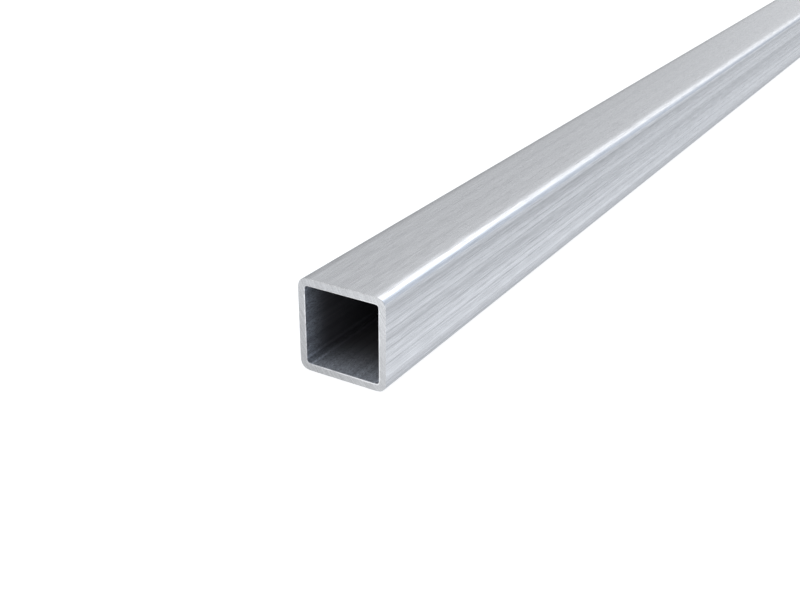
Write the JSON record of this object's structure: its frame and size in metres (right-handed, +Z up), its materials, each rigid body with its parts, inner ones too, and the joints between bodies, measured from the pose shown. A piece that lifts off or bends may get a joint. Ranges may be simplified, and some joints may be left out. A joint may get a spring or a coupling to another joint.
{
  "type": "square steel profile tube",
  "caption": "Square hollow steel profile tube with rolled round corners, an open bore and sawn ends, bare and bright, for cutting and welding into frames and racks.",
  "frame": {"origin": "middle of the underside, on the level surface that the tube lies on", "axes": "+Y along the tube, with the pictured cut end at -Y; +Z up, square to the underside; +X across the tube"},
  "size_m": [0.025, 1, 0.025],
  "materials": {
    "bright_steel": "satin"
  },
  "bodies": {
    "root": {"tube": "bright_steel"}
  },
  "joints": []
}
